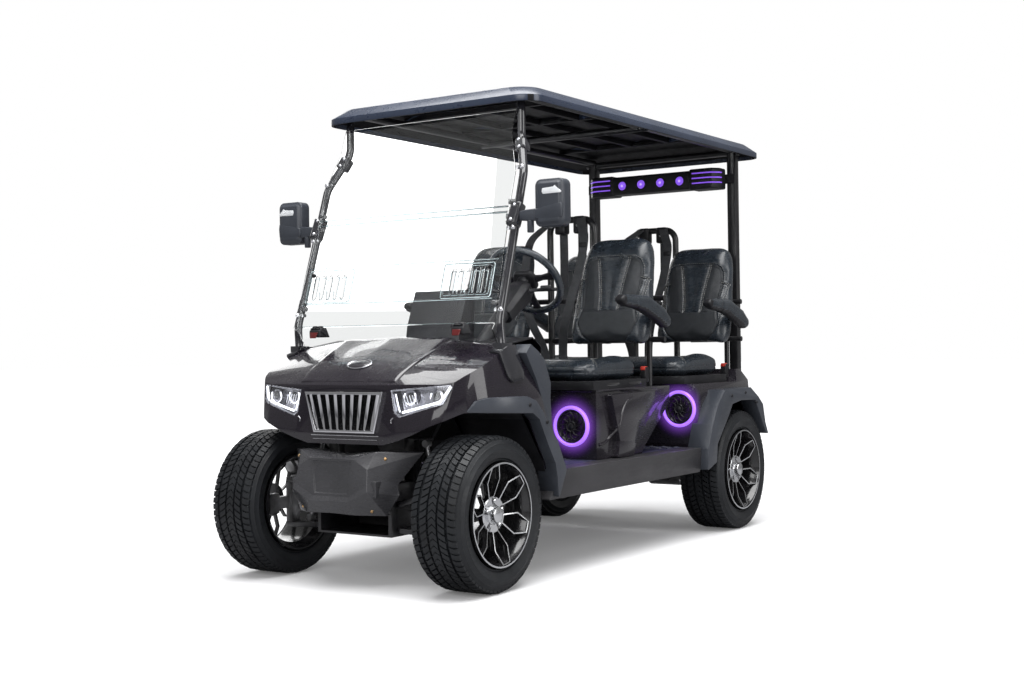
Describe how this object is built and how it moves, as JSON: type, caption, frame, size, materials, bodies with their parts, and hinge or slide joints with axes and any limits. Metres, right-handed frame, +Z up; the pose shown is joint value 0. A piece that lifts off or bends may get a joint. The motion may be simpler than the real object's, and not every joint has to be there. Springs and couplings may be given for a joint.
{
  "type": "golf cart",
  "caption": "Electric golf cart with two rows of forward-facing seats, flat roof, folding-type windscreen, alloy wheels and steered front axle.",
  "frame": {"origin": "on the ground, under the middle of the box round the whole vehicle", "axes": "+X to the left of the vehicle, +Y to its rear, +Z up"},
  "size_m": [1.464, 2.8819, 1.978],
  "materials": {
    "gloss_black": "gloss",
    "grey_plastic": "textured matt",
    "dark_plastic": "satin",
    "frame_paint": "satin powder coat",
    "bare_steel": "plain",
    "chrome_trim": "polished",
    "wheel_metal": "machined over black",
    "tyre_rubber": "matt",
    "seat_leather": "grained",
    "windscreen_glass": "clear",
    "lamp_glass": "clear",
    "red_lens": "gloss",
    "belt_web": "woven",
    "ring_light": "lit",
    "cone_black": "satin",
    "case_grey": "satin",
    "mirror_black": "satin"
  },
  "bodies": {
    "chassis": {"armrests": "seat_leather", "battery_pack": "case_grey", "belt_buckles": "dark_plastic", "dampers": "bare_steel", "dashboard": "dark_plastic", "drive_motor": "case_grey", "floor_pan": "dark_plastic", "front_bumper": "grey_plastic", "front_cowl": "gloss_black", "front_flares": "grey_plastic", "front_pod": "grey_plastic", "front_seat_backs": "seat_leather", "front_seat_frame": "frame_paint", "front_suspension": "frame_paint", "grille": "chrome_trim", "headlamps": "dark_plastic", "ladder_frame": "frame_paint", "lamp_lenses": "lamp_glass", "leg_shields": "grey_plastic", "mirrors": "mirror_black", "pedals": "frame_paint", "rear_axle": "frame_paint", "rear_body": "gloss_black", "rear_bumper": "frame_paint", "rear_flares": "grey_plastic", "rear_seat_backs": "seat_leather", "rear_seat_frame": "frame_paint", "rear_springs": "frame_paint", "roof": "dark_plastic", "roof_frame": "frame_paint", "seat_belts": "belt_web", "sills": "grey_plastic", "sound_bar": "dark_plastic", "speaker_rings": "ring_light", "speakers": "cone_black", "steering_column": "frame_paint", "tail_lamps": "red_lens", "wheel_liners": "dark_plastic", "windscreen_clips": "dark_plastic", "windscreen_lower": "windscreen_glass", "windscreen_posts": "frame_paint", "windscreen_upper": "windscreen_glass"},
    "knuckle_left": {"knuckle_left": "bare_steel"},
    "knuckle_right": {"knuckle_right": "bare_steel"},
    "rack": {"tie_rods": "bare_steel"},
    "steering_wheel": {"steering_wheel": "dark_plastic"},
    "wheel_front_left": {"tyre_front_left": "tyre_rubber", "rim_front_left": "wheel_metal"},
    "wheel_front_right": {"tyre_front_right": "tyre_rubber", "rim_front_right": "wheel_metal"},
    "wheel_rear_left": {"tyre_rear_left": "tyre_rubber", "rim_rear_left": "wheel_metal"},
    "wheel_rear_right": {"tyre_rear_right": "tyre_rubber", "rim_rear_right": "wheel_metal"},
    "front_seat": {"front_seat_pan": "dark_plastic", "front_seat_cushion": "seat_leather"},
    "rear_seat": {"rear_seat_pan": "dark_plastic", "rear_seat_cushion": "seat_leather"}
  },
  "joints": [
    {"name": "steer_left", "type": "hinge", "parent": "chassis", "child": "knuckle_left", "pos_m": [0.43, -1.149, 0.292], "axis": [0, 0, 1], "range_deg": [-26, 26]},
    {"name": "steer_right", "type": "hinge", "parent": "chassis", "child": "knuckle_right", "pos_m": [-0.43, -1.149, 0.292], "axis": [0, 0, 1], "range_deg": [-26, 26]},
    {"name": "rack_slide", "type": "slide", "parent": "chassis", "child": "rack", "axis": [1, 0, 0], "range_m": [-0.05, 0.05]},
    {"name": "steering_wheel_turn", "type": "hinge", "parent": "chassis", "child": "steering_wheel", "pos_m": [0.3, -0.499, 1.19], "axis": [0, 0.7771, 0.6293], "range_deg": [-339, 339]},
    {"name": "roll_front_left", "type": "hinge", "parent": "knuckle_left", "child": "wheel_front_left", "pos_m": [0.4985, -1.149, 0.292], "axis": [1, 0, 0], "continuous": true},
    {"name": "roll_front_right", "type": "hinge", "parent": "knuckle_right", "child": "wheel_front_right", "pos_m": [-0.4985, -1.149, 0.292], "axis": [1, 0, 0], "continuous": true},
    {"name": "roll_rear_left", "type": "hinge", "parent": "chassis", "child": "wheel_rear_left", "pos_m": [0.5235, 0.941, 0.292], "axis": [1, 0, 0], "continuous": true},
    {"name": "roll_rear_right", "type": "hinge", "parent": "chassis", "child": "wheel_rear_right", "pos_m": [-0.5235, 0.941, 0.292], "axis": [1, 0, 0], "continuous": true},
    {"name": "front_seat_lift", "type": "hinge", "parent": "chassis", "child": "front_seat", "pos_m": [0, 0.19, 0.7603], "axis": [-1, 0, 0], "range_deg": [0, 32]},
    {"name": "rear_seat_lift", "type": "hinge", "parent": "chassis", "child": "rear_seat", "pos_m": [0, 1.048, 0.7603], "axis": [-1, 0, 0], "range_deg": [0, 32]}
  ],
  "couplings": [
    {"joint": "steer_right", "follows": "steer_left", "ratio": 1},
    {"joint": "rack_slide", "follows": "steer_left", "m_per_rad": -0.11},
    {"joint": "steering_wheel_turn", "follows": "steer_left", "ratio": 13}
  ]
}
